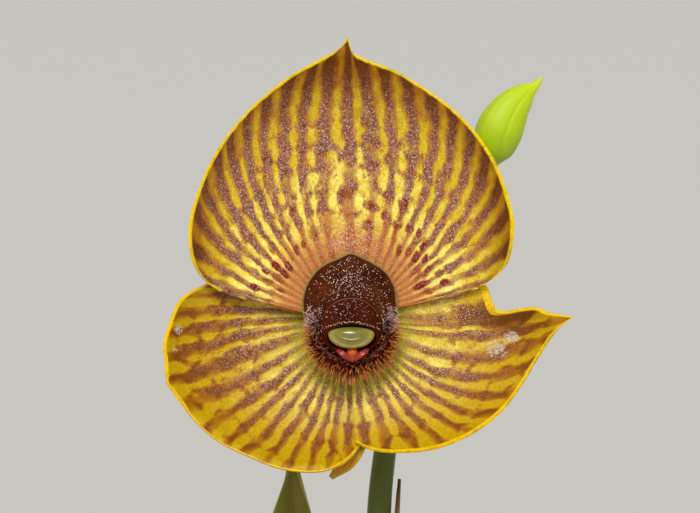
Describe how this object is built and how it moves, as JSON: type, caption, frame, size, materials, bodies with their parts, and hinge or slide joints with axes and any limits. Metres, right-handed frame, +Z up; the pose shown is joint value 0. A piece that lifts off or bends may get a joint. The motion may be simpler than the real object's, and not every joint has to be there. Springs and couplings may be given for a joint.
{
  "type": "telipogon orchid in basket",
  "caption": "Orchid plant with one striped, bowl-shaped flower and a bud on a tall stalk, leafy shoots and roots in moss, in a square basket of stacked wooden slats pinned at the corners.",
  "frame": {"origin": "middle of the basket's underside, on the flat underside of the middle floor slat", "axes": "+Z up along the flower stalk, -Y the way the flower faces, +X to the right as one looks at the flower"},
  "size_m": [0.104, 0.104, 0.1849],
  "materials": {
    "cedar": "matte",
    "zinc_wire": "satin",
    "moss": "matte",
    "leaf": "satin",
    "stem": "satin",
    "bract": "satin",
    "root": "matte",
    "bud": "satin",
    "petal": "satin",
    "sepal": "satin",
    "callus": "matte",
    "column": "satin",
    "anther_cap": "gloss",
    "beak": "gloss",
    "bristle": "satin"
  },
  "bodies": {
    "root": {"rail_1_front": "cedar", "rail_1_back": "cedar", "rail_2_left": "cedar", "rail_2_right": "cedar", "rail_3_front": "cedar", "rail_3_back": "cedar", "rail_4_left": "cedar", "rail_4_right": "cedar", "rail_5_front": "cedar", "rail_5_back": "cedar", "rail_6_left": "cedar", "rail_6_right": "cedar", "rail_7_front": "cedar", "rail_7_back": "cedar", "floor_slat_1": "cedar", "floor_slat_2": "cedar", "floor_slat_3": "cedar", "corner_pin_1": "zinc_wire", "corner_pin_2": "zinc_wire", "corner_pin_3": "zinc_wire", "corner_pin_4": "zinc_wire", "floor_nail_1": "zinc_wire", "floor_nail_2": "zinc_wire", "floor_nail_3": "zinc_wire", "floor_nail_4": "zinc_wire", "floor_nail_5": "zinc_wire", "floor_nail_6": "zinc_wire", "moss": "moss", "shoot_main": "leaf", "shoot_side": "leaf", "leaf_1": "leaf", "leaf_2": "leaf", "leaf_3": "leaf", "leaf_4": "leaf", "leaf_5": "leaf", "leaf_6": "leaf", "side_leaf_1": "leaf", "side_leaf_2": "leaf", "peduncle": "stem", "ovary": "stem", "bud_stalk": "stem", "bract_1": "bract", "bract_2": "bract", "bract_3": "bract", "root_1": "root", "root_2": "root", "root_3": "root", "bud": "bud", "lip": "petal", "petal_left": "petal", "petal_right": "petal", "sepal_lower": "sepal", "sepal_left": "sepal", "sepal_right": "sepal", "callus": "callus", "column": "column", "anther_cap": "anther_cap", "beak": "beak", "bristles": "bristle"}
  },
  "joints": []
}
